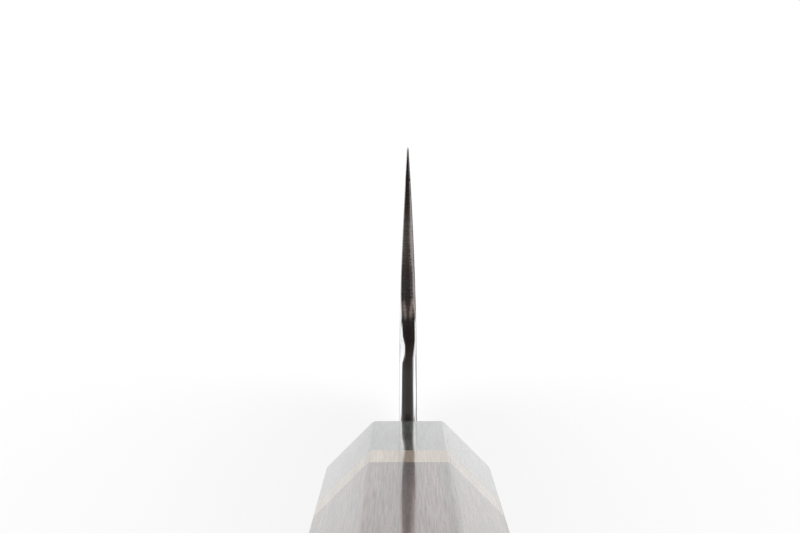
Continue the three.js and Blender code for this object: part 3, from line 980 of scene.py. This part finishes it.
def soften_group():
    """Welds a solid's faces and shades it smooth, except at its corners."""
    group = bpy.data.node_groups.new("soften", "GeometryNodeTree")
    group.interface.new_socket("Geometry", in_out="INPUT", socket_type="NodeSocketGeometry")
    group.interface.new_socket("Geometry", in_out="OUTPUT", socket_type="NodeSocketGeometry")
    solid = node(group, "NodeGroupInput", {}).outputs[0]
    inputs = {"Geometry": solid, "Name": "custom_normal"}
    bare = node(group, "GeometryNodeRemoveAttribute", inputs).outputs[0]
    inputs = {"Geometry": bare, "Distance": WELD_DISTANCE}
    weld = node(group, "GeometryNodeMergeByDistance", inputs).outputs[0]
    inputs = {"Geometry": weld, "Shade Smooth": True}
    smooth = node(group, "GeometryNodeSetShadeSmooth", inputs, domain="FACE").outputs[0]
    angle = node(group, "GeometryNodeInputMeshEdgeAngle", {}).outputs["Unsigned Angle"]
    inputs = {0: angle, 1: HANDLE_CORNER}
    sharp = node(group, "FunctionNodeCompare", inputs, operation="GREATER_THAN").outputs[0]
    inputs = {"Geometry": smooth, "Selection": sharp, "Shade Smooth": False}
    cornered = node(group, "GeometryNodeSetShadeSmooth", inputs, domain="EDGE").outputs[0]
    node(group, "NodeGroupOutput", {0: cornered})
    return group


def dress(solid, group, material):
    solid.modifiers.new("soften", "NODES").node_group = group
    solid.modifiers.new("weighted_normals", "WEIGHTED_NORMAL").keep_sharp = True
    paint(solid, material)


# Stage


def make_camera():
    camera = add_object("camera", bpy.data.cameras.new("camera"))
    camera.data.lens = LENS
    camera.data.clip_start = CAMERA_CLIP
    camera.location = (CAMERA_SIDE, FERRULE_FRONT - CAMERA_BACK, CAMERA_HEIGHT)
    camera.rotation_euler = (math.radians(90 - CAMERA_PITCH), 0, math.radians(CAMERA_YAW))
    bpy.context.scene.camera = camera


def make_softbox(name, softbox):
    """A square lamp that faces the knife."""
    light = bpy.data.lights.new(name, "AREA")
    light.energy = softbox.power
    light.size = SOFTBOX_SIZE
    lamp = add_object(name, light)
    lamp.location = softbox.place
    lamp.rotation_euler = (-Vector(softbox.place)).to_track_quat("-Z", "Y").to_euler()


def mirrored_room(tree):
    """What polished surfaces see of the room: white walls, a dark skirting and a dark open lane."""
    direction = node(tree, "ShaderNodeTexCoord", {}).outputs["Generated"]
    across, along, up = node(tree, "ShaderNodeSeparateXYZ", {0: direction}).outputs
    ahead = ramp(tree, across, -WALL_BLEND, WALL_BLEND, LEFT_WALL, RIGHT_WALL)
    white = ramp(tree, math_node(tree, "ABSOLUTE", across), *SIDE_FROM, ahead, 1.0)
    skirt = times(tree, ramp(tree, across, *SKIRT_SIDE), ramp(tree, along, *SKIRT_BACK))
    skirt = times(tree, skirt, fall(tree, up, *SKIRT_TOP))
    walls = mix(tree, skirt, white, SKIRT_LEVEL)
    lane = times(tree, ramp(tree, across, *LANE_LEFT), fall(tree, across, *LANE_RIGHT))
    facing = vector_node(tree, "DOT_PRODUCT", direction, LANE_TILT)["Value"]
    lane = times(tree, lane, ramp(tree, facing, *LANE_FROM))
    return mix(tree, lane, walls, ramp(tree, up, *LANE_RISE, LANE_LEVEL, LANE_TOP))


def make_world():
    """White for the eye, even light for colour, and a room with a dark open side for what mirrors it."""
    world = bpy.data.worlds.new("studio")
    bpy.context.scene.world = world
    world.use_nodes = True
    tree = world.node_tree
    tree.nodes.clear()
    path = node(tree, "ShaderNodeLightPath", {}).outputs
    seen = math_node(tree, "MAXIMUM", path["Is Camera Ray"], path["Is Transmission Ray"])
    level = mix(tree, path["Is Glossy Ray"], ROOM_LEVEL, mirrored_room(tree))
    level = mix(tree, seen, level, 1.0)
    background = node(tree, "ShaderNodeBackground", {"Color": grey(1), "Strength": level})
    node(tree, "ShaderNodeOutputWorld", {"Surface": background.outputs[0]})


def mirrored_floor(tree):
    """What polished surfaces see of the floor."""
    across, along, _ = axes(tree)
    level = ramp(tree, across, -FLOOR_BLEND, FLOOR_BLEND, FLOOR_LEFT, FLOOR_RIGHT)
    beside = times(tree, fall(tree, across, *FLOOR_BESIDE), fall(tree, along, *FLOOR_AHEAD))
    level = mix(tree, beside, level, 1.0)
    skirt = times(tree, ramp(tree, across, *FLOOR_SKIRT_SIDE), ramp(tree, along, *FLOOR_SKIRT_AHEAD))
    level = mix(tree, skirt, level, SKIRT_LEVEL)
    return ramp(tree, along, *FLOOR_OPEN, FLOOR_DARK, level)


def floor_material():
    """Pale paper near the knife, which keeps its shadow, and plain white farther off."""
    material, tree, shader = new_material("paper", PAPER_SHADER)
    colour = blend(tree, noise(tree, PAPER_FIBRE), PAPER_DARK, PAPER_LIGHT)
    feed(tree, shader.inputs["Base Color"], colour)
    oval = vector_node(tree, "MULTIPLY", object_place(tree), FLOOR_STRETCH)["Vector"]
    distance = vector_node(tree, "LENGTH", oval)["Value"]
    far = ramp(tree, distance, *FLOOR_FAR, 1 - FLOOR_PAPER, 1.0)
    path = node(tree, "ShaderNodeLightPath", {}).outputs
    level = mix(tree, path["Is Glossy Ray"], 1.0, mirrored_floor(tree))
    white = node(tree, "ShaderNodeEmission", {"Color": grey(1), "Strength": level}).outputs[0]
    mixed = node(tree, "ShaderNodeMixShader", {0: far, 1: shader.outputs[0], 2: white}).outputs[0]
    feed(tree, tree.nodes["Material Output"].inputs["Surface"], mixed)
    return material


def make_floor():
    half = FLOOR_SIZE / 2
    corners = [(-half, -half, 0), (half, -half, 0), (half, half, 0), (-half, half, 0)]
    mesh = bpy.data.meshes.new("floor")
    mesh.from_pydata(corners, [], [(0, 1, 2, 3)])
    floor = add_object("floor", mesh)
    paint(floor, floor_material())


# The knife


def make_blade():
    paint(make_core(), core_steel())
    satin = cladding_steel()
    paint(make_cladding("left_layer", "left_cladding", -1, LEFT_ROUNDING), satin)
    paint(make_cladding("right_layer", "right_cladding", 1, RIGHT_ROUNDING), satin)


def dress_handle():
    dark_epoxy = epoxy()
    materials = {
        "ferrule": horn(),
        "spacer": wood("pale_wood", PALE_WOOD),
        "handle_body": wood("dark_wood", DARK_WOOD),
        "core_dowel": wood("dowel_wood", DOWEL_WOOD),
        "tang_bedding": dark_epoxy,
        "mouth_seal": dark_epoxy,
    }
    soften = soften_group()
    for name, material in materials.items():
        dress(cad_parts[name], soften, material)


make_blade()
dress_handle()
make_floor()
for name, softbox in SOFTBOXES.items():
    make_softbox(name, softbox)
make_world()
make_camera()
bpy.context.scene.view_settings.view_transform = "Standard"
